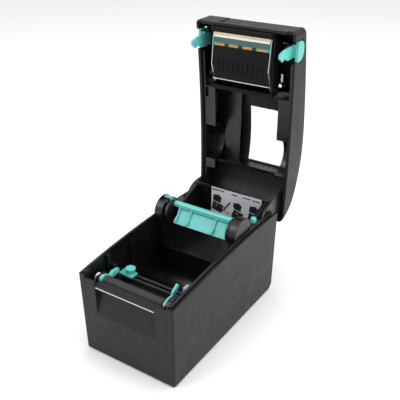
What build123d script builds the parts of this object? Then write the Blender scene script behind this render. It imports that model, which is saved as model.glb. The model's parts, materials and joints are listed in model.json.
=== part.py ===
"""Compact two-inch direct-thermal receipt printer, standing with its lid thrown open.

Everything is drawn in one working frame, in millimetres: X to the printer's left and right with 0 at
the middle, Y backwards from the front face, Z up from the underside of the base. The lid and what it
carries are drawn closed and then swung open about the hinge. Last, every piece is moved so that the
origin lies under the middle of the open printer, on the surface that its feet stand on.
"""

import os
from math import cos, pi, radians, sin, sqrt

from build123d import *

# ---- driving dimensions ----------------------------------------------------------------------------
body_w = 100.0          # width of the case
body_l = 182.0          # length of the base
wall = 2.5              # case wall
half_w = body_w / 2
gap = 0.3               # clearance between neighbouring mouldings
foot_h = 1.6            # rubber feet below the base
chamfer_rear = 6.0      # slope at the rear bottom edge

rim_apex_y = 129.0      # the parting line between base and lid is a long shallow arc
rim_apex_z = 90.4
rim_r = 1030.0

hinge_y = 181.2         # lid hinge axis, along X
hinge_z = 75.2
open_angle = 89.1       # how far the lid stands open
cheek_r = 26.5          # round hinge cheeks of the lid
cheek_x = (41.8, 44.6)  # inner and outer side of a cheek
pin_r = 2.5

tub_out = half_w - wall - 0.2   # outer side of the inner frame
tub_in = 45.3                   # its inner side
tub_wall = 2.0
tub_lip = 2.6                   # the frame's lip above the parting line
shelf_z = 60.0                  # shelf under the platen
bay_z = 22.0                    # floor of the roll bay
pocket_z = 58.0                 # floor of the pocket behind the roll bar
pocket_x = 38.0                 # half width of that pocket
label_y = 172.0                 # front side of the pocket's rear wall
wing_x = 41.2                   # outer side of the pocket's side wings

platen_y = 14.5         # platen axis, along X
platen_z = 73.4
platen_r = 4.7
platen_half = 31.0
shaft_r = 2.5
shaft_end = 40.9
fit = 0.06              # radial running clearance of shafts and pins

gear_module = 0.6
platen_teeth = 24
idler_teeth = 30
pinion_teeth = 12
gear_x = (38.0, 40.4)
idler_angle = -62.0     # direction from platen axis to idler axis
pinion_angle = -75.0    # direction from idler axis to motor axis
motor_r = 10.8

hub_y = 119.5           # axis of the roll hubs
hub_z = 93.5
hub_r = 14.8
hub_x = (36.8, tub_in)
hub_core = 12.0         # left hub's radius under the swinging tab
disc_r = 12.0
bar_half = 32.6
bar_lean = 38.0         # roll bar leans backwards from the vertical

panel_half = 43.0       # removable front panel
panel_z = (32.0, 74.4)
exit_half = 32.0        # sloped field below the tear bar
exit_z = 45.0
exit_depth = 7.0

head_face_z = 78.4      # underside of the print head, lid closed
head_half = 28.5
head_y = (6.6, 47.0)
head_pivot = (50.5, 85.5)

window_x = (-8.6, 33.4)
window_y = (83.0, 140.5)
crown = [(4.0, 107.0), (100.0, 123.2), (163.0, 114.3), (183.0, 95.0)]    # joints of its arcs

button_y = (7.6, 25.6)  # side release buttons
button_z = (88.4, 100.6)

lid_depth = 228.86      # how far back the open lid reaches behind the front face
front_reach = 1.0       # how far the tear bar stands in front of it
centre_y = (lid_depth - front_reach) / 2


# ---- placing and writing ---------------------------------------------------------------------------
stand = Location((0, -centre_y, foot_h))
swing_open = (
    stand
    * Location((0, hinge_y, hinge_z))
    * Location((0, 0, 0), (-open_angle, 0, 0))
    * Location((0, -hinge_y, -hinge_z))
)


def save(name, piece, place=stand):
    """Moves a finished piece to where it belongs, labels it and writes it."""
    solid = piece.part.moved(place)
    solid.label = name
    export_step(solid, f"parts/{name}.step")


def rim(y, rise=0.0):
    """Height of the parting line at y, raised by rise."""
    return rim_apex_z - rim_r + sqrt(rim_r**2 - (y - rim_apex_y) ** 2) + rise


def rim_arc(front, rear, rise=0.0):
    """The parting line as an arc from front to rear."""
    middle = (front + rear) / 2
    return ThreePointArc((front, rim(front, rise)), (middle, rim(middle, rise)), (rear, rim(rear, rise)))


def slab(x0, x1, y0, y1, z0, z1, mode=Mode.ADD):
    """An upright box between three pairs of planes."""
    with Locations(((x0 + x1) / 2, (y0 + y1) / 2, (z0 + z1) / 2)):
        return Box(abs(x1 - x0), abs(y1 - y0), abs(z1 - z0), mode=mode)


def rod(x0, x1, y, z, r, mode=Mode.ADD):
    """A cylinder along X."""
    with Locations(Location(((x0 + x1) / 2, y, z), (0, 90, 0))):
        return Cylinder(r, abs(x1 - x0), mode=mode)


def post(x, y, z0, z1, r, mode=Mode.ADD):
    """A cylinder along Z."""
    with Locations((x, y, (z0 + z1) / 2)):
        return Cylinder(r, z1 - z0, mode=mode)


def side_plate(outline, x0, x1, mode=Mode.ADD):
    """A plate between two X planes, with a side outline of (y, z) corners."""
    with BuildSketch(Plane.YZ.offset(x0)) as face:
        with BuildLine():
            Polyline(*outline, close=True)
        make_face()
    extrude(face.sketch, amount=x1 - x0, mode=mode)


os.makedirs("parts", exist_ok=True)

# ---- base: case ------------------------------------------------------------------------------------
board_z = 10.0              # underside of the main board
jack = (-24.0, 20.0)        # x and z of the power inlet in the rear wall
usb = (-4.0, 18.0)
serial = (20.0, 20.0)
switch = (-38.0, 32.0)
slot_z = (62.0, 68.0)       # slit for fan-fold paper

with BuildPart() as base_housing:
    with BuildSketch(Plane.YZ.offset(-half_w)):
        with BuildLine():
            Polyline((0, rim(0)), (0, 0), (body_l - chamfer_rear, 0), (body_l, chamfer_rear),
                     (body_l, rim(body_l)))
            rim_arc(0, body_l)
        make_face()
    extrude(amount=body_w)
    fillet(base_housing.edges().filter_by(Axis.Z).group_by(Axis.Y)[0], 2.0)
    fillet(base_housing.edges().filter_by(Axis.Z).group_by(Axis.Y)[-1], 2.0)
    slab(-half_w + wall, half_w - wall, wall, body_l - wall, wall, 120, Mode.SUBTRACT)
    slab(-half_w + 4, half_w - 4, 4, body_l - chamfer_rear - 3, -1, wall + 1, Mode.SUBTRACT)
    slab(-panel_half - 0.2, panel_half + 0.2, -1, wall + 1, panel_z[0] - 0.2, 120, Mode.SUBTRACT)
    slab(-34, 34, body_l - wall - 1, body_l + 1, slot_z[0], slot_z[1], Mode.SUBTRACT)
    for side in (-1, 1):
        slab(side * 36.4, side * 47.6, body_l - wall - 1, body_l + 1, hinge_z - 6.4, 120, Mode.SUBTRACT)
    for x, z, half, up in ((*jack, 5, 5.5), (*usb, 6.2, 5.6), (*serial, 9, 6.4)):
        slab(x - half, x + half, body_l - 4, body_l + 1, board_z + 1.4, z + up, Mode.SUBTRACT)
    slab(switch[0] - 5, switch[0] + 5, body_l - 4, body_l + 1, switch[1] - 7.5, switch[1] + 7.5,
         Mode.SUBTRACT)
save("base_housing", base_housing)

foot_spots = [(x, y) for x in (-38, 38) for y in (12, 160)]
screw_spots = [(x, y) for x in (-40, 40) for y in (28, 144)]

with BuildPart() as bottom_plate:
    slab(-half_w + 4.2, half_w - 4.2, 4.2, body_l - chamfer_rear - 3.2, 0, 2.4)
    with Locations((0, 60, 1.2)):
        with GridLocations(0, 6, 1, 7):
            Box(46, 2.2, 4, mode=Mode.SUBTRACT)
    for x, y in screw_spots:
        post(x, y, -1, 4, 1.7, Mode.SUBTRACT)
        post(x, y, -1, 1.2, 3.2, Mode.SUBTRACT)
save("bottom_plate", bottom_plate)

with BuildPart() as rubber_feet:
    for x, y in foot_spots:
        post(x, y, -foot_h, 0, 5.0)
    chamfer(rubber_feet.edges().group_by(Axis.Z)[0], 0.5)
save("rubber_feet", rubber_feet)

with BuildPart() as case_screws:
    for x, y in screw_spots:
        post(x, y, 0.2, 1.2, 2.8)
        post(x, y, 1.2, 10, 1.4)
save("case_screws", case_screws)

# ---- base: inner frame with the roll bay -----------------------------------------------------------
front_wall_y = wall + 0.2
bay_front = 52.0
bay_rear = 110.0
bay_r = 16.0
lock_spot = (41.4, 146.0)   # x and y of the lock button
lock_r = 2.9
slot_y = 153.4              # front end of the slots that the hinge cheeks swing in


def cavity_outline(grow):
    """Side face of the open space inside the frame, grown all round by grow."""
    with BuildSketch(Plane.YZ) as face:
        with BuildLine():
            Polyline((front_wall_y + tub_wall, 125), (front_wall_y + tub_wall, shelf_z), (bay_front, shelf_z))
            Line((bay_front, shelf_z), (bay_front, bay_z + bay_r))
            CenterArc((bay_front + bay_r, bay_z + bay_r), bay_r, 180, 90)
            Line((bay_front + bay_r, bay_z), (bay_rear - bay_r, bay_z))
            CenterArc((bay_rear - bay_r, bay_z + bay_r), bay_r, 270, 90)
            Polyline((bay_rear, bay_z + bay_r), (bay_rear, pocket_z), (label_y, pocket_z), (label_y, 125))
            Line((label_y, 125), (front_wall_y + tub_wall, 125))
        make_face()
        if grow:
            offset(amount=grow, kind=Kind.INTERSECTION)
    return face.sketch_local


with BuildPart() as tub_limit:
    with BuildSketch(Plane.YZ.offset(-tub_out)):
        with BuildLine():
            Line((front_wall_y, rim(front_wall_y, tub_lip)), (front_wall_y, 4))
            Line((front_wall_y, 4), (label_y + tub_wall, 4))
            Line((label_y + tub_wall, 4), (label_y + tub_wall, rim(label_y + tub_wall, tub_lip)))
            rim_arc(front_wall_y, label_y + tub_wall, tub_lip)
        make_face()
    extrude(amount=2 * tub_out)

with BuildPart() as tub_space:
    with BuildSketch(Plane.YZ.offset(-tub_in)):
        add(cavity_outline(0))
    extrude(amount=2 * tub_in)


def wing_outline():
    """Side outline of the wings beside the pocket, down to their hinge eyes."""
    return [(bay_rear + 24, pocket_z - 1), (bay_rear + 24, 88), (label_y - 4, 100), (label_y + tub_wall, 100),
            (label_y + tub_wall, 86), (hinge_y + 1, 80.2), (hinge_y + 1, 70.2), (body_l - wall - 0.9, 70.2),
            (label_y + tub_wall, pocket_z - 1)]


with BuildPart() as media_tub:
    with BuildSketch(Plane.YZ.offset(-tub_out)):
        add(cavity_outline(tub_wall))
    extrude(amount=2 * tub_out)
    add(tub_limit.part, mode=Mode.INTERSECT)
    add(tub_space.part, mode=Mode.SUBTRACT)
    slab(-panel_half - 0.4, panel_half + 0.4, 0, 9.6, 28, 125, Mode.SUBTRACT)
    slab(-wing_x, wing_x, label_y, label_y + tub_wall, pocket_z - 1, 103)
    for side in (-1, 1):
        slab(side * wing_x, side * tub_in, slot_y, label_y + 3, 40, 125, Mode.SUBTRACT)
        side_plate(wing_outline(), min(side * pocket_x, side * wing_x), max(side * pocket_x, side * wing_x))
        rod(side * pocket_x, side * wing_x, hinge_y, hinge_z, 5.0)
        slab(side * tub_in, side * tub_out, label_y, hinge_y, hinge_z - 5, hinge_z + 5)
        rod(side * tub_in, side * tub_out, hinge_y, hinge_z, 5.0)
        rod(side * 30, side * 60, hinge_y, hinge_z, pin_r, Mode.SUBTRACT)
        slab(side * hub_x[0], side * tub_in, hub_y - 12, hub_y + 12, pocket_z - 2, hub_z - 6)
        rod(side * 30, side * tub_in, hub_y, hub_z, hub_r + 0.02, Mode.SUBTRACT)
        slab(side * 38.6, side * tub_in, 33.6, 38, shelf_z - 1, 76)
        slab(side * 42.3, side * tub_in, 30, 34, shelf_z - 1, 76)
    slab(34.6, 40.8, 9.6, 33.2, 40, 61, Mode.SUBTRACT)
    slab(38.0, tub_in, 134.6, 153.2, pocket_z - 1, 92.8)
    slab(-tub_in, -38.0, 134.6, 153.2, pocket_z - 1, 92.8)
    post(lock_spot[0], lock_spot[1], 84, 94, lock_r + 0.35, Mode.SUBTRACT)
    slab(-tub_in - 0.5, -42.6, 64, 70, 60, rim(67, 2.0))
    slab(-44.4, -42.6, 64, 70, 60, rim(67, 5.0))
    slab(-tub_in - 0.5, -42.3, 31, 34.5, 60, rim(33, 0.5))
save("media_tub", media_tub)

with BuildPart() as front_panel:
    slab(-panel_half, panel_half, 0, 2.2, panel_z[0], 80.0)
    slab(-exit_half, exit_half, -1, 3, exit_z, 90, Mode.SUBTRACT)
    side_plate([(0, exit_z - 1.6), (0, exit_z), (exit_depth, panel_z[1]), (exit_depth + 1.8, panel_z[1]),
                (2.2, exit_z - 1.6)], -exit_half - 1.4, exit_half + 1.4)
    for side in (-1, 1):
        inner, outer = side * exit_half, side * (exit_half + 1.4)
        side_plate([(0, exit_z), (exit_depth + 1.8, panel_z[1]), (0, panel_z[1])],
                   min(inner, outer), max(inner, outer))
    slab(-exit_half - 1.4, exit_half + 1.4, 0.3, exit_depth + 1.8, panel_z[1] - 1.6, panel_z[1])
    slab(-exit_half - 1.4, exit_half + 1.4, 0.3, exit_depth + 1.8, panel_z[1], panel_z[1] + 1.7)
    slab(-exit_half, exit_half, -1, exit_depth + 0.2, panel_z[1], panel_z[1] + 0.9, Mode.SUBTRACT)
    for x in (6 - panel_half, panel_half - 6):
        slab(x - 3, x + 3, 2.2, 4.4, panel_z[0] + 0.4, panel_z[0] + 6)
        slab(x - 3, x + 3, 2.8, 4.4, panel_z[0] - 2, panel_z[0] + 1)
save("front_panel", front_panel)

tooth_pitch = 1.6
tooth_count = int(2 * (exit_half - 0.1) / tooth_pitch)

with BuildPart() as tear_bar:
    with BuildSketch(Plane.XY.offset(panel_z[1])):
        with BuildLine():
            start_x = -tooth_count * tooth_pitch / 2
            edge = [(start_x, 6.5), (start_x, -0.3)]
            for i in range(tooth_count):
                edge.append((start_x + (i + 0.5) * tooth_pitch, -front_reach))
                edge.append((start_x + (i + 1) * tooth_pitch, -0.3))
            edge.append((-start_x, 6.5))
            Polyline(*edge, close=True)
        make_face()
    extrude(amount=0.8)
save("tear_bar", tear_bar)

# ---- base: platen drive ----------------------------------------------------------------------------
idler_y = platen_y + gear_module * (platen_teeth + idler_teeth) / 2 * cos(radians(idler_angle))
idler_z = platen_z + gear_module * (platen_teeth + idler_teeth) / 2 * sin(radians(idler_angle))
motor_y = idler_y + gear_module * (idler_teeth + pinion_teeth) / 2 * cos(radians(pinion_angle))
motor_z = idler_z + gear_module * (idler_teeth + pinion_teeth) / 2 * sin(radians(pinion_angle))


def gear_face(x, y, z, teeth, first):
    """Face of a spur gear in the plane X = x, with a tooth centred on the direction first (degrees)."""
    pitch_r = gear_module * teeth / 2
    tip_r = pitch_r + 0.75 * gear_module
    root_r = pitch_r - 1.1 * gear_module
    step = 2 * pi / teeth
    corners = []
    for i in range(teeth):
        middle = radians(first) + i * step
        for r, share in ((root_r, -0.32), (tip_r, -0.11), (tip_r, 0.11), (root_r, 0.32)):
            angle = middle + share * step
            corners.append((y + r * cos(angle), z + r * sin(angle)))
    with BuildSketch(Plane.YZ.offset(x)) as face:
        with BuildLine():
            Polyline(*corners, close=True)
        make_face()
    return face.sketch


def meshing(teeth, towards):
    """Direction of a tooth, so that a gap of this gear faces the direction towards (degrees)."""
    return towards + 180 / teeth


idler_first = meshing(idler_teeth, idler_angle + 180)
offset_share = ((pinion_angle - idler_first) / (360 / idler_teeth)) % 1.0
pinion_first = pinion_angle + 180 + (0.5 + offset_share) * 360 / pinion_teeth

with BuildPart() as platen_shaft:
    rod(-shaft_end, shaft_end, platen_y, platen_z, shaft_r)
save("platen_shaft", platen_shaft)

with BuildPart() as platen_roller:
    rod(-platen_half, platen_half, platen_y, platen_z, platen_r)
    rod(-platen_half, platen_half, platen_y, platen_z, shaft_r, Mode.SUBTRACT)
    fillet(platen_roller.edges().filter_by(GeomType.CIRCLE).group_by(SortBy.RADIUS)[-1], 0.4)
save("platen_roller", platen_roller)

with BuildPart() as platen_gear:
    extrude(gear_face(gear_x[0], platen_y, platen_z, platen_teeth, idler_angle),
            amount=gear_x[1] - gear_x[0])
    rod(30, 50, platen_y, platen_z, shaft_r, Mode.SUBTRACT)
save("platen_gear", platen_gear)

with BuildPart() as idler_gear:
    extrude(gear_face(gear_x[0], idler_y, idler_z, idler_teeth, idler_first), amount=gear_x[1] - gear_x[0])
    rod(30, 50, idler_y, idler_z, 1.5 + fit, Mode.SUBTRACT)
save("idler_gear", idler_gear)

with BuildPart() as motor_pinion:
    extrude(gear_face(gear_x[0], motor_y, motor_z, pinion_teeth, pinion_first), amount=gear_x[1] - gear_x[0])
    rod(34.0, gear_x[0], motor_y, motor_z, 1.2)
save("motor_pinion", motor_pinion)

with BuildPart() as stepper_motor:
    rod(13.8, 33.8, motor_y, motor_z, motor_r)
    slab(33.8, 34.8, motor_y - 14, motor_y + 14, motor_z - 3.5, motor_z + 3.5)
    rod(34.8, 36.4, motor_y, motor_z, 2.9)
    rod(33.6, 37, motor_y, motor_z, 1.2 + fit, Mode.SUBTRACT)
save("stepper_motor", stepper_motor)

with BuildPart() as gear_bracket:
    slab(34.8, 36.8, 10.4, 33, 30, shelf_z - tub_wall)
    slab(35.0, 37.0, platen_y - 6, platen_y + 6, shelf_z, 78)
    rod(34, 38, platen_y, platen_z, 3.6, Mode.SUBTRACT)
    rod(36.8, 40.6, idler_y, idler_z, 1.5)
    rod(30, 37, motor_y, motor_z, 2.9, Mode.SUBTRACT)
    slab(34.8, 36.8, 10.4, 20, shelf_z - 4, shelf_z + 2)
save("gear_bracket", gear_bracket)

with BuildPart() as gear_cover:
    rod(37.2, 41.8, platen_y, platen_z, 9.4)
    rod(37.2, 41.8, idler_y, idler_z, 10.9)
    slab(37.2, 41.8, platen_y - 9.4, platen_y + 9.4, 55, platen_z)
    rod(37, 41, platen_y, platen_z, 8.3, Mode.SUBTRACT)
    rod(37, 41, idler_y, idler_z, 9.9, Mode.SUBTRACT)
    slab(37, 41, platen_y - 8.3, platen_y + 8.3, 50, platen_z, Mode.SUBTRACT)
    slab(36, 43, -10, 50, 40, shelf_z + 0.2, Mode.SUBTRACT)
save("gear_cover", gear_cover)

with BuildPart() as platen_bracket:
    slab(-38.4, -36.8, platen_y - 6, platen_y + 6, shelf_z, 78)
    rod(-40, -36, platen_y, platen_z, 3.6, Mode.SUBTRACT)
save("platen_bracket", platen_bracket)

with BuildPart() as platen_bush_left:
    rod(-shaft_end, -38.5, platen_y, platen_z, 4.5)
    rod(-38.5, -36.9, platen_y, platen_z, 3.55)
    rod(-45, -30, platen_y, platen_z, shaft_r + fit, Mode.SUBTRACT)
save("platen_bush_left", platen_bush_left)

with BuildPart() as platen_bush_right:
    rod(34.6, 35.0, platen_y, platen_z, 4.5)
    rod(35.0, 37.2, platen_y, platen_z, 3.55)
    rod(30, 45, platen_y, platen_z, shaft_r + fit, Mode.SUBTRACT)
save("platen_bush_right", platen_bush_right)


def lever(x0, x1, lift):
    """A platen release lever on the shaft, its arm raised by lift degrees above the horizontal."""
    turn = radians(lift)
    def at(along, up):
        return (platen_y + along * cos(turn) - up * sin(turn), platen_z + along * sin(turn) + up * cos(turn))
    with BuildPart() as piece:
        rod(x0, x1, platen_y, platen_z, 4.3)
        side_plate([at(0, -2), at(0, 4.2), at(5, 3.0), at(9, 0.4), at(12, 2.6), at(20, 2.4), at(20.5, -1.0),
                    at(13, -2.6), at(8, -2.4)], x0, x1)
        rod(x0 - 1, x1 + 1, platen_y, platen_z, shaft_r + fit, Mode.SUBTRACT)
    return piece


platen_lever_left = lever(-36.4, -33.2, -4)
save("platen_lever_left", platen_lever_left)
platen_lever_right = lever(32.2, 34.3, 30)
save("platen_lever_right", platen_lever_right)

# ---- base: paper sensor ----------------------------------------------------------------------------
with BuildPart() as sensor_rail:
    slab(-34, 34, 38, 46, shelf_z, 65)
    slab(-31, 31, 40.6, 43.4, 62, 66, Mode.SUBTRACT)
save("sensor_rail", sensor_rail)

with BuildPart() as sensor_slider:
    slab(-30.5, -23.5, 41.0, 43.0, 63.0, 65.4)
    slab(-36.5, -21.5, 37.4, 45.8, 65.3, 67.2)
    with BuildSketch(Plane.XY.offset(67.2)):
        with Locations((-27.0, 42.8)):
            RegularPolygon(4.6, 6)
    extrude(amount=5.4, taper=-6)
    fillet(sensor_slider.edges().group_by(Axis.Z)[-1], 0.6)
save("sensor_slider", sensor_slider)

with BuildPart() as cover_sensor:
    slab(38.8, 42.0, 30.5, 36.6, 76, 84)
    fillet(cover_sensor.edges().group_by(Axis.Z)[-1], 0.8)
save("cover_sensor", cover_sensor)

# ---- base: roll hubs, roll bar, lock button --------------------------------------------------------
def around(angle, r):
    """A point at radius r round the hub axis, angle degrees backwards from straight up."""
    return (hub_y + r * sin(radians(angle)), hub_z + r * cos(radians(angle)))


for name, side in (("roll_hub_left", -1), ("roll_hub_right", 1)):
    with BuildPart() as roll_hub:
        rod(side * hub_x[0], side * hub_x[1], hub_y, hub_z, hub_r)
        fillet(roll_hub.edges().filter_by(GeomType.CIRCLE), 0.8)
        rod(side * 30, side * 42.0, hub_y, hub_z, 3.0 + fit, Mode.SUBTRACT)
        if side < 0:
            side_plate([(hub_y, hub_z), around(-28, 30), around(10, 32), around(48, 30)],
                       -44.4, -36, Mode.SUBTRACT)
            rod(-44.4, -hub_x[0], hub_y, hub_z, hub_core)
            rod(-42.0, -36, hub_y, hub_z, 3.0 + fit, Mode.SUBTRACT)
    save(name, roll_hub)


def on_bar(up, forward):
    """A point of the roll bar's section, up and forward measured in the leaning bar."""
    turn = radians(bar_lean)
    return (hub_y + up * sin(turn) - forward * cos(turn), hub_z + up * cos(turn) + forward * sin(turn))


with BuildPart() as roll_bar:
    side_plate([on_bar(-10.5, -0.6), on_bar(-10.5, 2.6), on_bar(-9, 1.2), on_bar(4, 1.2), on_bar(5.2, 3.4),
                on_bar(7.6, 4.8), on_bar(10.0, 4.4), on_bar(11.4, 1.4), on_bar(11.4, -1.8), on_bar(9.6, -3.8),
                on_bar(6, -0.8)],
               -bar_half, bar_half)
    for x in (-25.1, -12.0, 16.0, 31.7):
        side_plate([on_bar(-10.5, 0), on_bar(-10.5, 4.2), on_bar(-8, 4.8), on_bar(-2, 2.6), on_bar(4, 3.4),
                    on_bar(8, 4.6), on_bar(9, 0)], x - 0.9, x + 0.9)
    side_plate([on_bar(-14, -4), on_bar(-14, 8), on_bar(5.6, 8), on_bar(5.6, -4)], -40, -26, Mode.SUBTRACT)
    fillet(roll_bar.edges().filter_by(Axis.X).group_by(Axis.Z)[-1], 1.0)
save("roll_bar", roll_bar)

with BuildPart() as roll_discs:
    for side in (-1, 1):
        rod(side * bar_half, side * 35.6, hub_y, hub_z, disc_r)
        rod(side * 35.6, side * 41.6, hub_y, hub_z, 3.0)
    fillet(roll_discs.edges().filter_by(GeomType.CIRCLE).group_by(SortBy.RADIUS)[-1], 0.7)
save("roll_discs", roll_discs)

def on_tab(up, forward):
    """A point of the tab's section, up and forward measured in the tab, which leans backwards."""
    turn = radians(12)
    return (hub_y + up * sin(turn) - forward * cos(turn), hub_z + up * cos(turn) + forward * sin(turn))


with BuildPart() as bar_tab:
    rod(-36.5, -35.7, hub_y, hub_z, 5.0)
    side_plate([on_tab(0, -2.4), on_tab(0, 2.4), on_tab(14.1, 2.4), on_tab(14.1, -2.4)], -36.5, -35.7)
    side_plate([on_tab(12.6, -2.4), on_tab(12.6, 2.4), on_tab(14.1, 2.4), on_tab(14.1, -2.4)], -43.6, -35.7)
    rod(-39, -34, hub_y, hub_z, 3.0, Mode.SUBTRACT)
save("bar_tab", bar_tab)

with BuildPart() as lock_button:
    post(lock_spot[0], lock_spot[1], 85.5, 97.2, lock_r)
    fillet(lock_button.edges().group_by(Axis.Z)[-1], 1.2)
save("lock_button", lock_button)

with BuildPart() as loading_label:
    slab(-21.4, 36.0, label_y - 0.25, label_y, 70, 102.6)
save("loading_label", loading_label)

with BuildPart() as hinge_pins:
    for side in (-1, 1):
        rod(side * 37.4, side * tub_out, hinge_y, hinge_z, pin_r)
save("hinge_pins", hinge_pins)

# ---- base: electronics -----------------------------------------------------------------------------
with BuildPart() as main_board:
    slab(-45, 40, 114, 176, board_z, board_z + 1.6)
save("main_board", main_board)

with BuildPart() as board_parts:
    for x, y, w, d, h in ((-8, 132, 16, 16, 1.6), (18, 130, 10, 12, 1.4), (28, 150, 12, 8, 1.2),
                          (-30, 126, 9, 9, 8)):
        slab(x - w / 2, x + w / 2, y - d / 2, y + d / 2, board_z + 1.6, board_z + 1.6 + h)
    for x in (-34, -24, 32):
        post(x, 142, board_z + 1.6, board_z + 13, 4.0)
save("board_parts", board_parts)

with BuildPart() as board_posts:
    for x in (-42, 36):
        for y in (118, 170):
            post(x, y, 2.4, board_z, 2.6)
save("board_posts", board_posts)

with BuildPart() as power_inlet:
    slab(jack[0] - 4.8, jack[0] + 4.8, 168, body_l - 0.4, board_z + 1.6, jack[1] + 5.2)
    with Locations(Location((jack[0], 177, jack[1]), (90, 0, 0))):
        Cylinder(2.9, 10.4, mode=Mode.SUBTRACT)
    with Locations(Location((jack[0], 175.6, jack[1]), (90, 0, 0))):
        Cylinder(1.0, 10)
save("power_inlet", power_inlet)

with BuildPart() as usb_port:
    slab(usb[0] - 6, usb[0] + 6, 166, body_l - 0.4, board_z + 1.6, usb[1] + 5.3)
    slab(usb[0] - 4.2, usb[0] + 4.2, 172, body_l + 1, usb[1] - 4.2, usb[1] + 3.9, Mode.SUBTRACT)
    slab(usb[0] - 2.8, usb[0] + 2.8, 170, body_l - 2, usb[1] - 1.6, usb[1] + 1.6)
save("usb_port", usb_port)

with BuildPart() as serial_port:
    slab(serial[0] - 8.8, serial[0] + 8.8, 166, body_l - 0.4, board_z + 1.6, serial[1] + 6.2)
    slab(serial[0] - 6.2, serial[0] + 6.2, 170, body_l + 1, serial[1] - 4.6, serial[1] + 4.2, Mode.SUBTRACT)
    slab(serial[0] - 2.4, serial[0] + 2.4, 170, body_l + 1, serial[1] + 4.1, serial[1] + 5.4, Mode.SUBTRACT)
save("serial_port", serial_port)

with BuildPart() as switch_frame:
    slab(switch[0] - 4.8, switch[0] + 4.8, 172, body_l + 0.6, switch[1] - 7.3, switch[1] + 7.3)
    slab(switch[0] - 3.6, switch[0] + 3.6, 175, body_l + 2, switch[1] - 6.5, switch[1] + 6.5, Mode.SUBTRACT)
    rod(switch[0] - 4.2, switch[0] + 4.2, 180, switch[1], 0.9 + fit, Mode.SUBTRACT)
save("switch_frame", switch_frame)

with BuildPart() as power_rocker:
    side_plate([(178.4, switch[1] + 4.6), (178.4, switch[1] - 4.6), (181.4, switch[1] - 5.2),
                (182.0, switch[1]), (184.2, switch[1] + 5.2)], switch[0] - 3.3, switch[0] + 3.3)
    rod(switch[0] - 4.1, switch[0] + 4.1, 180, switch[1], 0.9)
save("power_rocker", power_rocker)

# ---- lid, drawn closed -----------------------------------------------------------------------------
lid_front = -1.0
lid_rear = 184.6
lid_gap = 0.4               # lid rim above the parting line
liner_gap = 3.1             # liner above it, clear of the frame's lip
rear_rim_z = 86.6           # lower edge of the rear wall, outside the base
nose_z = 100.69             # where the front wall begins to round over into the top
last_z = 87.47              # where the rounded rear ends in the upright wall
low_z = 60.0                # the lid's form is drawn down to here and cut along the rim
lid_in = half_w - wall      # inner side of its walls
liner_out = lid_in - 0.3
liner_in = 44.8
shelf_in = 34.2            # inner edge of the shelves beside the roll
hood_r = 18.2               # recess round the hubs in those shelves
feed_spot = (30.0, 20.0)    # x and y of the feed button
led_spot = (18.0, 20.0)


def lid_face(inset):
    """Side face of the lid's form down to low_z, shrunk all round by inset."""
    with BuildSketch(Plane.YZ) as face:
        with BuildLine():
            nose = TangentArc((lid_front, nose_z), crown[0], tangent=(0, 1))
            top = TangentArc(nose @ 1, crown[1], tangent=nose % 1)
            crest = TangentArc(top @ 1, crown[2], tangent=top % 1)
            rear = TangentArc(crest @ 1, crown[3], tangent=crest % 1)
            last = TangentArc(rear @ 1, (lid_rear, last_z), tangent=rear % 1)
            Polyline(last @ 1, (lid_rear, low_z), (lid_front, low_z), nose @ 0)
        make_face()
        if inset:
            offset(amount=-inset)
    return face.sketch_local


def lid_block(inset, x0, x1):
    """The lid's form, shrunk by inset, between two X planes."""
    with BuildPart() as block:
        with BuildSketch(Plane.YZ.offset(x0)):
            add(lid_face(inset))
        extrude(amount=x1 - x0)
    return block.part


def below(rise, rear, rear_z):
    """Everything below the parting line raised by rise, and below rear_z behind rear."""
    with BuildPart() as block:
        with BuildSketch(Plane.YZ.offset(-half_w - 1)):
            with BuildLine():
                Polyline((-5, rim(-5, rise)), (-5, 40), (190, 40), (190, rear_z), (rear, rear_z))
                Line((rear, rear_z), (rear, rim(rear, rise)))
                rim_arc(-5, rear, rise)
            make_face()
        extrude(amount=body_w + 2)
    return block.part


with BuildPart() as lid_shell:
    add(lid_block(0, -half_w, half_w))
    fillet(lid_shell.edges().filter_by(Axis.X, reverse=True).filter_by_position(Axis.Z, low_z + 1, 140), 4.0)
    add(lid_block(wall, -lid_in, lid_in), mode=Mode.SUBTRACT)
    slab(-lid_in, lid_in, lid_front + wall, lid_rear - wall, low_z - 1, 92, Mode.SUBTRACT)
    add(below(lid_gap, body_l + 0.3, rear_rim_z), mode=Mode.SUBTRACT)
    slab(-panel_half + 0.4, panel_half - 0.4, lid_front, lid_front + wall, 80.2, 86)
    slab(-26, 44, lid_front - 1, lid_front + 0.8, 84, 110, Mode.SUBTRACT)
    for side in (-1, 1):
        slab(side * (lid_in - 1), side * (half_w + 1), button_y[0], button_y[1], 70, button_z[1],
             Mode.SUBTRACT)
    slab(window_x[0], window_x[1], window_y[0], window_y[1], 95, 130, Mode.SUBTRACT)
    post(feed_spot[0], feed_spot[1], 95, 120, 5.1, Mode.SUBTRACT)
    post(led_spot[0], led_spot[1], 95, 120, 1.5, Mode.SUBTRACT)
save("lid_shell", lid_shell, swing_open)

with BuildPart() as window_pane:
    add(lid_block(0.1, window_x[0] + 0.15, window_x[1] - 0.15))
    add(lid_block(2.0, window_x[0] - 1, window_x[1] + 1), mode=Mode.SUBTRACT)
    with Locations(((window_x[0] + window_x[1]) / 2, (window_y[0] + window_y[1]) / 2, 120)):
        Box(60, window_y[1] - window_y[0] - 0.3, 30, mode=Mode.INTERSECT)
save("window_pane", window_pane, swing_open)

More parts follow.
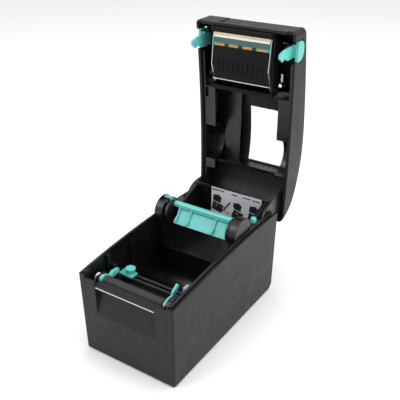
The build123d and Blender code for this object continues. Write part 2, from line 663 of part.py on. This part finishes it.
with BuildPart() as side_shelves:
    for side, front, rear in ((-1, 61, 148.0), (1, 61, 140.8)):
        with BuildSketch(Plane.YZ.offset(min(side * shelf_in, side * 45.4))) as shelf_face:
            with BuildLine():
                rim_arc(front, rear, liner_gap)
                rim_arc(front, rear, liner_gap + 2)
                Line((front, rim(front, liner_gap)), (front, rim(front, liner_gap + 2)))
                Line((rear, rim(rear, liner_gap)), (rear, rim(rear, liner_gap + 2)))
            make_face()
        extrude(shelf_face.sketch, amount=45.4 - shelf_in)
        rod(side * shelf_in, side * 47.2, hub_y, hub_z, hood_r + 2)
    slab(-liner_in, -15.6, 61, 143, 112, 113.8)

with BuildPart() as cheeks:
    for side in (-1, 1):
        rod(side * cheek_x[0], side * cheek_x[1], hinge_y, hinge_z, cheek_r)
    slab(-half_w, half_w, hinge_y - 2.8, hinge_y + 40, 0, 130, Mode.SUBTRACT)
    slab(-half_w, half_w, 100, 260, hinge_z, 130, Mode.SUBTRACT)
    for side in (-1, 1):
        slab(side * cheek_x[0], side * cheek_x[1], hinge_y - cheek_r, hinge_y - 3.6, hinge_z, 98)
        slab(side * cheek_x[0], side * (liner_in + 0.3), hinge_y - 25, hinge_y - 5, 94, 98)
        rod(side * cheek_x[0], side * cheek_x[1], hinge_y, hinge_z, 5.0)
        rod(side * 40, side * 46, hinge_y, hinge_z, pin_r + fit, Mode.SUBTRACT)

with BuildPart() as lid_liner:
    add(lid_block(wall + 0.3, -liner_out, liner_out))
    slab(-liner_in, liner_in, -5, 190, 60, 130, Mode.SUBTRACT)
    slab(-liner_in, liner_in, 55.5, 61.5, 97, 112.6)
    slab(-liner_in, liner_in, 142.0, 145.0, 106, 116.9)
    slab(-45.5, 45.5, -5, button_y[1] + 2.4, 60, button_z[1] + 1.6, Mode.SUBTRACT)
    add(side_shelves.part)
    add(below(liner_gap, body_l - 4, 100), mode=Mode.SUBTRACT)
    for side in (-1, 1):
        rod(side * 34, side * 45.8, hub_y, hub_z, hood_r, Mode.SUBTRACT)
        slab(side * 45, side * 49, -5, button_y[1] + 2.4, 60, button_z[1] + 1.6, Mode.SUBTRACT)
    add(cheeks.part)
    slab(-45.2, -41.8, 62, 72, 60, 97, Mode.SUBTRACT)
save("lid_liner", lid_liner, swing_open)

cradle_in = 30.2
cradle_out = 31.8

with BuildPart() as head_cradle:
    slab(-cradle_out, cradle_out, 1.8, 58, 92, 94)
    slab(-31, 31, 1.8, 5.6, 77.2, 92.5)
    fillet(head_cradle.edges().filter_by(Axis.X).group_by(Axis.Z)[0], 1.6)
    slab(-cradle_out, cradle_out, 54.4, 58, 80.5, 92.5)
    for side in (-1, 1):
        slab(side * cradle_in, side * cradle_out, 5, 55, 81.5, 92.5)
        slab(side * (cradle_out - 0.5), side * 40, 44.5, 49, 90, 93)
        rod(side * 28, side * 34, head_pivot[0], head_pivot[1], 1.5, Mode.SUBTRACT)
        post(side * 24, 10, 93, 105.0, 3.0)
        post(side * 24, 51, 93, 112.1, 3.0)
    slab(-cradle_out - 1, -cradle_out + 8, 20, 40, 91, 95, Mode.SUBTRACT)
    slab(-12, 12, 20, 45, 91, 95, Mode.SUBTRACT)
save("head_cradle", head_cradle, swing_open)

with BuildPart() as head_pins:
    for side in (-1, 1):
        rod(side * 28.2, side * cradle_out, head_pivot[0], head_pivot[1], 1.5)
save("head_pins", head_pins, swing_open)

with BuildPart() as head_springs:
    for side in (-1, 1):
        post(side * 17, 45, 88.2, 92, 2.8)
        post(side * 17, 45, 88.0, 92.2, 1.6, Mode.SUBTRACT)
save("head_springs", head_springs, swing_open)

with BuildPart() as pull_spring:
    with Locations(Location((37.4, 40.4, 88.6), (90, 0, 0))):
        Cylinder(1.7, 7.0)
    post(37.4, 46.6, 84.4, 90, 1.9)
save("pull_spring", pull_spring, swing_open)

with BuildPart() as led_lens:
    post(led_spot[0], led_spot[1], 104, 110.6, 1.4)
save("led_lens", led_lens, swing_open)

with BuildPart() as feed_button:
    post(feed_spot[0], feed_spot[1], 106.5, 112.3, 4.8)
    fillet(feed_button.edges().group_by(Axis.Z)[-1], 0.8)
    post(feed_spot[0], feed_spot[1], 99.5, 106.5, 2.0)
save("feed_button", feed_button, swing_open)

with BuildPart() as button_board:
    slab(8, 38, 14, 26, 97.2, 98.4)
save("button_board", button_board, swing_open)

# ---- lid: print head -------------------------------------------------------------------------------
bracket_half = 29.6

with BuildPart() as head_bracket:
    slab(-bracket_half, bracket_half, 6.6, 48.4, 86.6, 87.6)
    for side in (-1, 1):
        inner, outer = side * (bracket_half - 0.8), side * bracket_half
        side_plate([(7.2, 87), (7.2, 80.4), (12, 79.0), (21, 78.3), (34, 76.6), (53.6, 83.4), (53.6, 87)],
                   min(inner, outer), max(inner, outer))
        rod(side * 28, side * 31, head_pivot[0], head_pivot[1], 1.5 + fit, Mode.SUBTRACT)
    slab(-bracket_half + 0.5, bracket_half - 0.5, 47.6, 48.4, 79.4, 87)
save("head_bracket", head_bracket, swing_open)

with BuildPart() as heat_sink:
    slab(-head_half + 0.2, head_half - 0.2, head_y[0], 18.0, 79.8, 86.5)
    slab(-head_half + 0.2, head_half - 0.2, 8.9, 10.8, 79.0, 79.8)
save("heat_sink", heat_sink, swing_open)

with BuildPart() as head_edge:
    slab(-head_half + 0.2, head_half - 0.2, head_y[0], 8.8, 78.9, 79.8)
save("head_edge", head_edge, swing_open)

with BuildPart() as head_ceramic:
    slab(-head_half + 0.2, head_half - 0.2, 10.9, 15.3, 78.7, 79.8)
    rod(-26, 26, platen_y, 78.85, 0.35)
save("head_ceramic", head_ceramic, swing_open)

with BuildPart() as head_board:
    slab(-head_half + 0.2, head_half - 0.2, 15.4, 18.0, 79.1, 79.8)
save("head_board", head_board, swing_open)

with BuildPart() as head_contacts:
    for i in range(4):
        slab(-26.5 + 14 * i, -17.5 + 14 * i, 16.4, 17.9, 78.8, 79.1)
save("head_contacts", head_contacts, swing_open)

with BuildPart() as head_chips:
    for i in range(3):
        slab(-16.8 + 14 * i, -13.2 + 14 * i, 15.6, 17.9, 78.5, 79.1)
save("head_chips", head_chips, swing_open)

with BuildPart() as head_cover:
    slab(-head_half + 0.3, head_half - 0.3, 18.2, head_y[1], 78.0, 86.4)
    fillet(head_cover.edges().filter_by(Axis.X).group_by(Axis.Z)[0], 1.0)
    for i in range(10):
        slab(-23 + 5 * i, -22.2 + 5 * i, 30.5, 40, 77.3, 78.2)
save("head_cover", head_cover, swing_open)

# ---- lid: side release buttons ---------------------------------------------------------------------
for name, side in (("release_button_left", -1), ("release_button_right", 1)):
    with BuildPart() as release_button:
        slab(side * 48.4, side * 50.9, button_y[0] + 0.4, button_y[1] - 0.4, button_z[0], button_z[1] - 0.4)
        fillet(release_button.edges().filter_by(Axis.X).group_by(Axis.Z)[-1], 7.0)
        slab(side * 44.8, side * 48.6, 11, 22, 89.5, 97)
        side_plate([(12, 98), (11.9, 84.8), (12.5, 74), (14.2, 66.6), (17.4, 65.8), (21.6, 71.4),
                    (19.8, 75.6),
                    (22.8, 81), (23, 98)], min(side * 43.1, side * 44.9), max(side * 43.1, side * 44.9))
    save(name, release_button, swing_open)
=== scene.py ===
import json
from math import cos, pi, radians, sin

import bmesh
import bpy
from mathutils import Matrix, Vector


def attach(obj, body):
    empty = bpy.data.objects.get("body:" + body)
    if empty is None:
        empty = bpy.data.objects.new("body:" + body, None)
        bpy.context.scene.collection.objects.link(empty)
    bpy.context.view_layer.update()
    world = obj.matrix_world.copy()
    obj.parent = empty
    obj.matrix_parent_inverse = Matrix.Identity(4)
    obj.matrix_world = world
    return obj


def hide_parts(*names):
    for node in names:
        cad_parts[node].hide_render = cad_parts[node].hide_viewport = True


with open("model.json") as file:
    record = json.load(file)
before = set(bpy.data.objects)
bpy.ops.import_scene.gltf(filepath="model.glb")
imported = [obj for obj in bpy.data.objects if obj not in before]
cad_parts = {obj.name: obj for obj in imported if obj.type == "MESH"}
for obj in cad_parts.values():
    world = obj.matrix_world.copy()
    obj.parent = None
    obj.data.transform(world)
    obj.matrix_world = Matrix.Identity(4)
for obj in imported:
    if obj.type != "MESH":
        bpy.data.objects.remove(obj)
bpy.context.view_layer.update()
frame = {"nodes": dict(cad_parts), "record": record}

NODES = frame["nodes"]

# ---- the model's working frame, in millimetres: X, Y back from the front face, Z up from the base ----
rest = frame["record"]["mounts"][0]["pos_m"]
MID_Y = 12.0 - rest[1] * 1000.0
FOOT_H = 1.6
HINGE = (181.2, 75.2)
OPEN = radians(-89.1)


def at(x, y, z):
    """A point of the working frame, in metres in the row frame."""
    return Vector((x, y - MID_Y, z + FOOT_H)) / 1000.0


def lid_at(x, y, z):
    """A point drawn on the closed lid, where it is with the lid open."""
    dy, dz = y - HINGE[0], z - HINGE[1]
    return at(x, HINGE[0] + dy * cos(OPEN) - dz * sin(OPEN), HINGE[1] + dy * sin(OPEN) + dz * cos(OPEN))


# ---- materials ---------------------------------------------------------------------------------------
class Graph:
    """A new material with a Principled shader, and short calls for its nodes."""

    def __init__(self, name):
        self.mat = bpy.data.materials.new(name)
        self.mat.use_nodes = True
        self.tree = self.mat.node_tree
        self.shader = self.tree.nodes["Principled BSDF"]
        self.coord = self.tree.nodes.new("ShaderNodeTexCoord").outputs["Object"]

    def put(self, **values):
        for key, value in values.items():
            self.shader.inputs[key.replace("_", " ")].default_value = value
        return self

    def link(self, a, b):
        self.tree.links.new(a, b)

    def stretched(self, scale):
        node = self.tree.nodes.new("ShaderNodeMapping")
        node.inputs["Scale"].default_value = scale
        self.link(self.coord, node.inputs["Vector"])
        return node.outputs["Vector"]

    def noise(self, scale, detail=2.0, stretch=None):
        node = self.tree.nodes.new("ShaderNodeTexNoise")
        node.inputs["Scale"].default_value = scale
        node.inputs["Detail"].default_value = detail
        self.link(self.stretched(stretch) if stretch else self.coord, node.inputs["Vector"])
        return node.outputs["Fac"]

    def spread(self, value, low, high, source=(0.3, 0.7)):
        node = self.tree.nodes.new("ShaderNodeMapRange")
        node.inputs["From Min"].default_value = source[0]
        node.inputs["From Max"].default_value = source[1]
        node.inputs["To Min"].default_value = low
        node.inputs["To Max"].default_value = high
        self.link(value, node.inputs["Value"])
        return node.outputs["Result"]

    def tint(self, value, low, high, source=(0.3, 0.7)):
        node = self.tree.nodes.new("ShaderNodeValToRGB")
        node.color_ramp.elements[0].position = source[0]
        node.color_ramp.elements[1].position = source[1]
        node.color_ramp.elements[0].color = (*low, 1)
        node.color_ramp.elements[1].color = (*high, 1)
        self.link(value, node.inputs["Fac"])
        self.link(node.outputs["Color"], self.shader.inputs["Base Color"])

    def rough(self, value, low, high, source=(0.3, 0.7)):
        self.link(self.spread(value, low, high, source), self.shader.inputs["Roughness"])

    def relief(self, value, strength, height, edge=0.0):
        bump = self.tree.nodes.new("ShaderNodeBump")
        bump.inputs["Strength"].default_value = strength
        bump.inputs["Distance"].default_value = height
        self.link(value, bump.inputs["Height"])
        if edge:
            bevel = self.tree.nodes.new("ShaderNodeBevel")
            bevel.samples = 6
            bevel.inputs["Radius"].default_value = edge
            self.link(bevel.outputs["Normal"], bump.inputs["Normal"])
        self.link(bump.outputs["Normal"], self.shader.inputs["Normal"])


def scaled(colour, k):
    return tuple(min(1.0, c * k) for c in colour)


def plastic(name, colour, rough, grain, depth, strength, edge=0.0004, vary=0.08, **more):
    """Moulded plastic: a slight mottle, a fine grain and rounded edges."""
    g = Graph(name)
    g.put(**more)
    g.tint(g.noise(45, 4), scaled(colour, 1 - vary), scaled(colour, 1 + vary))
    g.rough(g.noise(90, 3), rough - 0.05, rough + 0.06)
    g.relief(g.noise(grain, 1.5), strength, depth, edge)
    return g.mat


def metal(name, colour, rough, brush=(40, 4000, 4000), edge=0.00015, vary=0.12):
    g = Graph(name)
    g.put(Metallic=1.0)
    streak = g.noise(1.0, 3, brush)
    g.tint(streak, scaled(colour, 1 - vary), scaled(colour, 1 + vary))
    g.rough(streak, rough - 0.06, rough + 0.08)
    g.relief(streak, 0.15, 0.00001, edge)
    return g.mat


CASE = plastic("case_black", (0.0125, 0.012, 0.012), 0.44, 2200, 0.00005, 0.5, 0.0005,
               Specular_IOR_Level=0.24)
INNER = plastic("inner_black", (0.0045, 0.0045, 0.005), 0.30, 1500, 0.00002, 0.08, 0.0004)
HEADBLACK = plastic("head_black", (0.005, 0.005, 0.0055), 0.40, 2400, 0.00004, 0.35, 0.0003,
                    Specular_IOR_Level=0.12)
TEAL = plastic("turquoise", (0.115, 0.515, 0.475), 0.33, 900, 0.00003, 0.15, 0.0005, 0.05,
               Subsurface_Weight=0.08, Subsurface_Scale=0.002)
NYLON = plastic("white_nylon", (0.78, 0.70, 0.70), 0.42, 1200, 0.00002, 0.2, 0.0003, 0.04,
                Subsurface_Weight=0.1, Subsurface_Scale=0.002)
GREY = plastic("grey_plastic", (0.36, 0.39, 0.43), 0.4, 1500, 0.00003, 0.2, 0.0003)
STEEL = metal("plated_steel", (0.60, 0.59, 0.57), 0.27)
BRIGHT = metal("bright_steel", (0.74, 0.74, 0.73), 0.18, (4000, 300, 300), 0.0001, 0.08)
ALU = metal("milled_aluminium", (0.78, 0.76, 0.71), 0.32, (30, 5000, 5000))
GOLD = plastic("glazed_edge", (0.62, 0.50, 0.34), 0.25, 1800, 0.00002, 0.2, 0.0001, 0.1)
CERAMIC = plastic("grey_ceramic", (0.055, 0.115, 0.115), 0.22, 1500, 0.00001, 0.15, 0.0001, 0.08,
                  Specular_IOR_Level=0.3)
RUBBER = plastic("ground_rubber", (0.018, 0.018, 0.020), 0.62, 5200, 0.00006, 0.7, 0.0003, 0.15)
CHIP = plastic("moulded_chip", (0.012, 0.012, 0.012), 0.5, 4000, 0.00004, 0.4, 0.0001)


def board_green():
    g = Graph("solder_mask")
    g.put(Coat_Weight=0.4, Coat_Roughness=0.2)
    lines = g.tree.nodes.new("ShaderNodeTexBrick")
    lines.inputs["Scale"].default_value = 400
    lines.inputs["Mortar Size"].default_value = 0.05
    g.link(g.coord, lines.inputs["Vector"])
    g.tint(lines.outputs["Fac"], (0.012, 0.34, 0.20), (0.03, 0.48, 0.29), (0.0, 1.0))
    g.rough(g.noise(300, 2), 0.3, 0.42)
    g.relief(lines.outputs["Fac"], 0.2, 0.00003)
    return g.mat


def copper_tracks():
    g = Graph("copper_tracks")
    g.put(Metallic=0.75)
    wave = g.tree.nodes.new("ShaderNodeTexWave")
    wave.inputs["Scale"].default_value = 420
    wave.inputs["Distortion"].default_value = 0.0
    g.link(g.coord, wave.inputs["Vector"])
    g.tint(wave.outputs["Fac"], (0.42, 0.11, 0.02), (0.86, 0.36, 0.09), (0.3, 0.6))
    g.rough(g.noise(700, 2), 0.25, 0.4)
    g.relief(wave.outputs["Fac"], 0.3, 0.00003)
    return g.mat


def clear_pane():
    g = Graph("clear_pane")
    g.put(Transmission_Weight=1.0, IOR=1.49)
    g.tint(g.noise(30, 2), (0.93, 0.945, 0.94), (0.97, 0.98, 0.975))
    g.rough(g.noise(200, 3), 0.04, 0.12)
    g.relief(g.noise(250, 2), 0.08, 0.00002)
    return g.mat


def printed_film():
    g = Graph("printed_film")
    g.put(Coat_Weight=0.3, Coat_Roughness=0.15)
    g.tint(g.noise(60, 3), (0.62, 0.62, 0.66), (0.72, 0.72, 0.75))
    g.rough(g.noise(500, 2), 0.35, 0.5)
    g.relief(g.noise(900, 2), 0.12, 0.00002)
    return g.mat


PCB = board_green()
COPPER = copper_tracks()
PANE = clear_pane()
FILM = printed_film()
LENS = plastic("frosted_lens", (0.35, 0.75, 0.45), 0.35, 2000, 0.00002, 0.2, 0.0001, 0.05)


def ink(name, colour):
    return plastic(name, colour, 0.5, 3000, 0.00001, 0.2, 0.0, 0.12)


INK_DARK = ink("ink_dark", (0.012, 0.016, 0.02))
INK_GREEN = ink("ink_green", (0.03, 0.30, 0.20))
INK_RED = ink("ink_red", (0.50, 0.03, 0.05))
INK_GREY = ink("ink_grey", (0.10, 0.10, 0.115))
INK_PALE = ink("ink_pale", (0.75, 0.76, 0.78))

LOOKS = {
    CASE: ("base_housing", "bottom_plate", "front_panel", "lid_shell"),
    INNER: ("media_tub", "sensor_rail", "roll_hub_left", "roll_hub_right", "roll_discs", "lid_liner",
            "board_posts", "button_board",
            "platen_bracket", "gear_cover"),
    HEADBLACK: ("head_cradle", "head_cover"),
    TEAL: ("platen_lever_left", "platen_lever_right", "sensor_slider", "roll_bar", "bar_tab", "lock_button",
           "feed_button", "release_button_left", "release_button_right"),
    NYLON: ("platen_bush_left", "platen_bush_right", "platen_gear", "idler_gear", "motor_pinion"),
    GREY: ("cover_sensor", "serial_port"),
    STEEL: ("case_screws", "stepper_motor", "gear_bracket", "usb_port", "head_bracket"),
    BRIGHT: ("tear_bar", "hinge_pins", "platen_shaft", "head_pins", "head_springs", "pull_spring"),
    ALU: ("heat_sink",),
    GOLD: ("head_edge",),
    CERAMIC: ("head_ceramic",),
    RUBBER: ("platen_roller", "rubber_feet"),
    CHIP: ("board_parts", "power_inlet", "switch_frame", "power_rocker", "head_chips"),
    PCB: ("main_board", "head_board"),
    COPPER: ("head_contacts",),
    PANE: ("window_pane",),
    FILM: ("loading_label",),
    LENS: ("led_lens",),
}
for material, names in LOOKS.items():
    for name in names:
        for place in NODES[name].material_slots:
            place.material = material

# ---- mesh helpers ------------------------------------------------------------------------------------


def finish_piece(name, bm, body, material, smooth=False):
    """Turns a bmesh that is in the row frame into a piece that rides on a body."""
    bmesh.ops.recalc_face_normals(bm, faces=bm.faces)
    mesh = bpy.data.meshes.new(name)
    bm.to_mesh(mesh)
    bm.free()
    obj = bpy.data.objects.new(name, mesh)
    bpy.context.scene.collection.objects.link(obj)
    mesh.materials.append(material)
    if smooth:
        for face in mesh.polygons:
            face.use_smooth = True
    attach(obj, body)
    return obj


def add_tube(bm, points, r, sides=10):
    """A round bar of radius r, in metres, along points."""
    rings = []
    up = Vector((0.13, 0.31, 0.94)).normalized()
    for i, p in enumerate(points):
        along = (points[min(i + 1, len(points) - 1)] - points[max(i - 1, 0)]).normalized()
        side = along.cross(up)
        if side.length < 1e-4:
            side = along.cross(Vector((1, 0, 0)))
        side.normalize()
        up = side.cross(along).normalized()
        turns = [2 * pi * k / sides for k in range(sides)]
        ring = [bm.verts.new(p + r * (cos(turn) * side + sin(turn) * up)) for turn in turns]
        rings.append(ring)
    for a, b in zip(rings, rings[1:]):
        for k in range(sides):
            bm.faces.new((a[k], a[(k + 1) % sides], b[(k + 1) % sides], b[k]))
    bm.faces.new(rings[0][::-1])
    bm.faces.new(rings[-1])


def coil(bm, start, end, radius, wire, turns, steps=14):
    """A close helical spring between two points, in metres."""
    along = (end - start).normalized()
    side = along.orthogonal().normalized()
    other = along.cross(side)
    count = int(turns * steps)
    points = []
    for i in range(count + 1):
        angle = 2 * pi * i / steps
        points.append(start + (end - start) * (i / count) + radius * (cos(angle) * side + sin(angle) * other))
    add_tube(bm, points, wire, 6)


def add_turned(bm, base, along, profile, sides=24):
    """A turned shape: profile is (distance along the axis, radius) pairs in millimetres."""
    along = along.normalized()
    side = along.orthogonal().normalized()
    other = along.cross(side)
    rings = []
    for distance, radius in profile:
        centre = base + along * (distance / 1000)
        turns = [2 * pi * k / sides for k in range(sides)]
        rings.append([bm.verts.new(centre + (radius / 1000) * (cos(turn) * side + sin(turn) * other))
                      for turn in turns])
    for a, b in zip(rings, rings[1:]):
        for k in range(sides):
            bm.faces.new((a[k], a[(k + 1) % sides], b[(k + 1) % sides], b[k]))
    bm.faces.new(rings[0][::-1])
    bm.faces.new(rings[-1])


def add_prism(bm, outline, thick):
    """A flat shape: outline is a list of points, thick the vector that it is thickened by."""
    low = [bm.verts.new(p) for p in outline]
    high = [bm.verts.new(p + thick) for p in outline]
    bm.faces.new(low[::-1])
    bm.faces.new(high)
    for i in range(len(outline)):
        j = (i + 1) % len(outline)
        bm.faces.new((low[i], low[j], high[j], high[i]))


# ---- the sticker's pictograms ------------------------------------------------------------------------
LABEL_Y = 171.75


def on_label(shapes, name, material, lift=0.06):
    """Flat printed shapes on the sticker, each a list of (x, z) corners in millimetres."""
    bm = bmesh.new()
    for shape in shapes:
        add_prism(bm, [at(x, LABEL_Y - lift, z) for x, z in shape], Vector((0, lift / 1000 * 0.8, 0)))
    return finish_piece(name, bm, "base", material)


def moved(shape, dx, dz, k=1.0):
    return [(x * k + dx, z * k + dz) for x, z in shape]


def disc(x, z, r, n=20):
    return [(x + r * cos(2 * pi * i / n), z + r * sin(2 * pi * i / n)) for i in range(n)]


body_shape = [(-4.6, -5.5), (3.6, -7.2), (4.6, -1.0), (-3.4, 0.8)]
lid_shape = [(-3.6, 1.2), (2.4, 0.2), (3.2, 4.4), (1.0, 6.2), (-3.2, 5.6)]
printer_spots = ((-14.0, 86.0), (9.8, 82.6), (28.4, 84.2))
on_label([moved(shape, x, z, 1.5) for shape in (body_shape, lid_shape) for x, z in printer_spots],
         "label_printers", INK_DARK)
on_label([moved([(-2.2, -3.6), (0.6, -4.2), (0.8, -2.2), (-2.0, -1.6)], x, z) for x, z in printer_spots]
         + [disc(x + 3.6, z + 1.2, 0.8) for x, z in printer_spots], "label_green_marks", INK_GREEN, 0.12)
on_label([[(-9.0, 77.5), (-6.2, 78.3), (2.0, 89.6), (0.2, 90.6)]], "label_diagonal_bar", INK_GREY, 0.09)
on_label([[(-1.0, 80.2), (4.8, 80.6), (6.0, 85.8), (0.4, 85.4)]], "label_grey_box", INK_PALE, 0.09)
on_label([[(-10.5, 82.0), (-4.5, 83.4), (-4.6, 84.5), (-2.6, 83.2), (-4.2, 81.6), (-4.3, 82.6),
           (-10.3, 81.2)],
          [(-6.0, 79.6), (-1.6, 77.0), (-2.2, 76.2), (0.2, 75.8), (-0.6, 78.0), (-1.1, 77.4), (-5.6, 80.2)],
          [(16.5, 74.0), (21.5, 75.8), (21.8, 74.9), (23.2, 76.8), (20.9, 77.4), (21.2, 76.5), (16.2, 74.8)]],
         "label_red_arrows", INK_RED, 0.12)
bars = [(-20.5, -12.0, 100.2), (-11.4, -6.4, 100.2), (2.0, 8.6, 99.6), (15.0, 24.0, 99.6), (26.0, 34.6, 99.4)]
on_label([[(a, z - 0.6), (b, z - 0.6), (b, z + 0.6), (a, z + 0.6)] for a, b, z in bars],
         "label_rules", INK_DARK)

# ---- springs -----------------------------------------------------------------------------------------
PULL_X = 37.4
bm = bmesh.new()
coil(bm, lid_at(PULL_X, 37.2, 88.6), lid_at(PULL_X, 43.6, 88.6), 0.00135, 0.00032, 8)
add_tube(bm, [lid_at(PULL_X, 36.9, 88.6), lid_at(PULL_X, 44.4, 88.6)], 0.0006)
add_turned(bm, lid_at(PULL_X, 46.6, 90.0), lid_at(0, 0, 0) - lid_at(0, 0, 1),
           [(0, 0.8), (3.0, 0.8), (3.0, 1.9), (4.6, 1.9), (5.4, 1.5), (5.6, 0.5)])
springs = finish_piece("wound_pull_spring", bm, "lid", BRIGHT, True)
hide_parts("pull_spring")

bm = bmesh.new()
for side in (-1, 1):
    coil(bm, lid_at(side * 17, 45, 88.5), lid_at(side * 17, 45, 92.0), 0.0024, 0.00035, 4)
springs = finish_piece("wound_head_springs", bm, "lid", BRIGHT, True)
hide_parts("head_springs")

# ---- screws of the bottom ----------------------------------------------------------------------------
bm = bmesh.new()
for x in (-40, 40):
    for y in (28, 144):
        add_turned(bm, at(x, y, 1.15), Vector((0, 0, -1)),
                   [(0, 1.3), (0, 2.75), (0.5, 2.7), (0.85, 2.0), (0.85, 1.1), (0.4, 0.7)])
        add_turned(bm, at(x, y, 9.8), Vector((0, 0, -1)), [(0, 0.8), (0.8, 1.35), (8.7, 1.35)], 16)
screws = finish_piece("recessed_screws", bm, "base", STEEL, False)
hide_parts("case_screws")

# ---- floor, light, camera ----------------------------------------------------------------------------
floor_mesh = bpy.data.meshes.new("studio_floor")
floor_mesh.from_pydata([(-4, -4, 0), (4, -4, 0), (4, 4, 0), (-4, 4, 0)], [], [(0, 1, 2, 3)])
floor = bpy.data.objects.new("studio_floor", floor_mesh)
floor.location.z = -0.0002
bpy.context.scene.collection.objects.link(floor)
g = Graph("pale_floor")
g.tint(g.noise(3, 2), (0.93, 0.93, 0.93), (0.95, 0.95, 0.95))
g.rough(g.noise(20, 2), 0.85, 0.95)
floor_mesh.materials.append(g.mat)

world = bpy.data.worlds.new("studio")
world.use_nodes = True
world.node_tree.nodes["Background"].inputs["Color"].default_value = (1.0, 1.0, 1.0, 1)
world.node_tree.nodes["Background"].inputs["Strength"].default_value = 0.8
bpy.context.scene.world = world
bpy.context.scene.view_settings.view_transform = "Standard"

LIT = Vector((0, 0, 0.1))  # the point that the lamps face


def area(name, where, size, power):
    """A square soft lamp that faces the printer."""
    lamp = bpy.data.lights.new(name, "AREA")
    lamp.energy = power
    lamp.size = size
    obj = bpy.data.objects.new(name, lamp)
    obj.location = where
    obj.rotation_euler = (LIT - Vector(where)).to_track_quat("-Z", "Y").to_euler()
    bpy.context.scene.collection.objects.link(obj)


area("key", (-0.7, -0.9, 1.3), 0.9, 8)
area("side", (1.3, 0.0, 0.7), 0.9, 8.5)
area("top", (0.1, 0.3, 1.5), 0.8, 8)

FOCAL_MM = 53.523
SHIFT = (0.03425, 0.178)  # parts of the picture's width
CAMERA_AT = (266.3, -298.5, 372.7)
yaw, pitch, roll = radians(-34.22), radians(34.25), radians(-0.47)
forward = Vector((cos(pitch) * sin(yaw), cos(pitch) * cos(yaw), -sin(pitch)))
right = Vector((cos(yaw), -sin(yaw), 0))
up = right.cross(forward)
right_rolled = cos(roll) * right + sin(roll) * up
up_rolled = -sin(roll) * right + cos(roll) * up
lens = bpy.data.cameras.new("camera")
lens.sensor_width = 36.0
lens.lens = FOCAL_MM
lens.shift_x = SHIFT[0]
lens.shift_y = SHIFT[1]
camera = bpy.data.objects.new("camera", lens)
place = at(*CAMERA_AT)
camera.matrix_world = Matrix((
    (right_rolled.x, up_rolled.x, -forward.x, place.x),
    (right_rolled.y, up_rolled.y, -forward.y, place.y),
    (right_rolled.z, up_rolled.z, -forward.z, place.z),
    (0, 0, 0, 1)))
bpy.context.scene.collection.objects.link(camera)
bpy.context.scene.camera = camera
